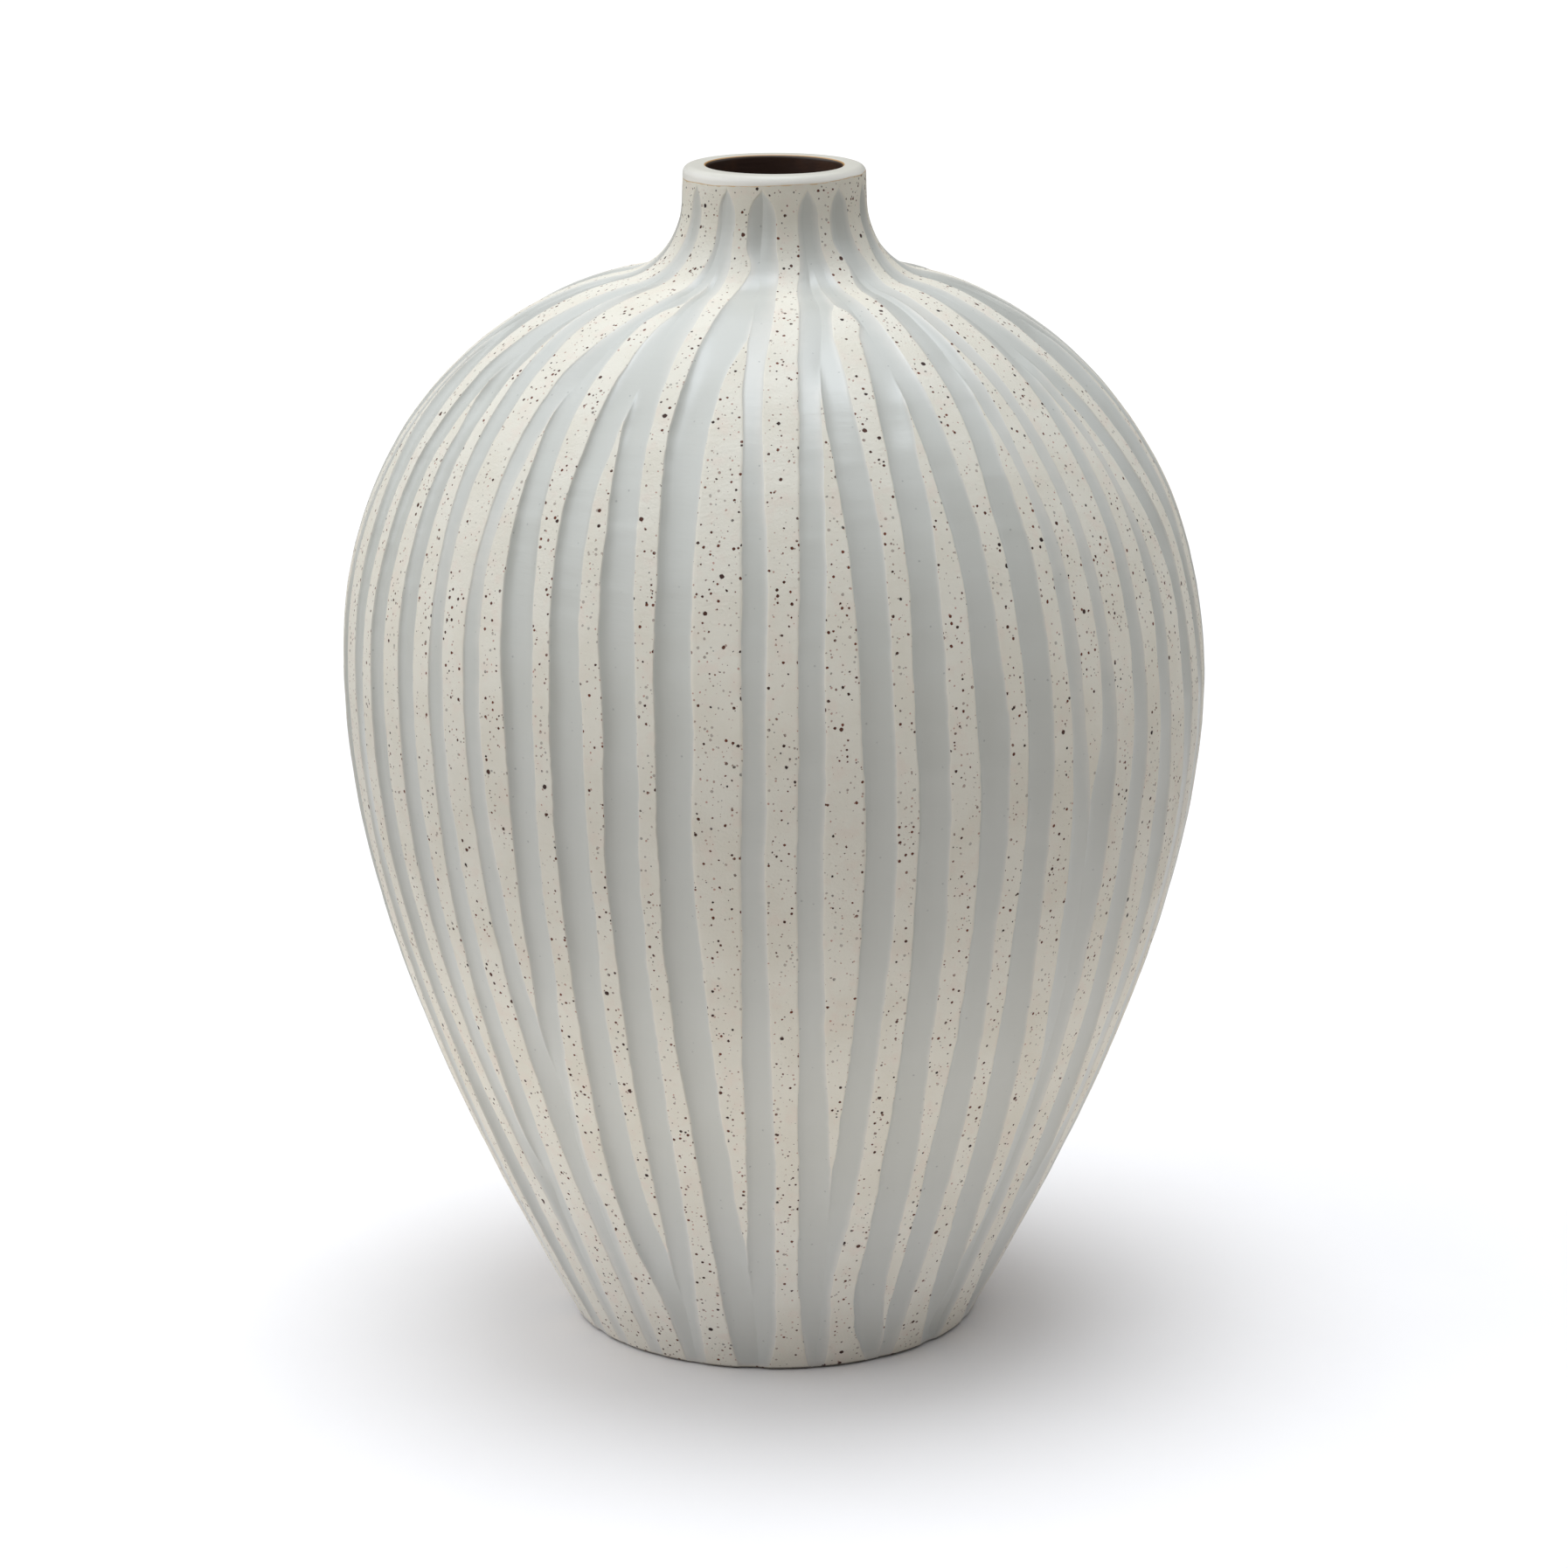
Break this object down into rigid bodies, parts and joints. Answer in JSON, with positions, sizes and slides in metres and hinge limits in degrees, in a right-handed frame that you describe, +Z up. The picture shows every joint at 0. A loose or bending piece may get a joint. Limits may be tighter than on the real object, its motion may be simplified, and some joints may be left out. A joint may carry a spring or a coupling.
{
  "type": "ceramic bud vase",
  "caption": "Ovoid stoneware bud vase with hand-carved vertical flutes filled with satin glaze, bare clay lands between them, a short narrow neck and a rounded glazed lip.",
  "frame": {"origin": "centre of the foot, on the surface the vase stands on", "axes": "+Z up along the throwing axis; -Y towards the viewer, +X to the viewer's right"},
  "size_m": [0.1208, 0.1208, 0.165],
  "materials": {
    "stoneware": "matte",
    "pale_blue_glaze": "satin",
    "white_lip_glaze": "satin",
    "dark_lining_glaze": "gloss"
  },
  "bodies": {
    "root": {"clay_body": "stoneware", "flute_glaze": "pale_blue_glaze", "lip_glaze": "white_lip_glaze", "lining_glaze": "dark_lining_glaze"}
  },
  "joints": []
}
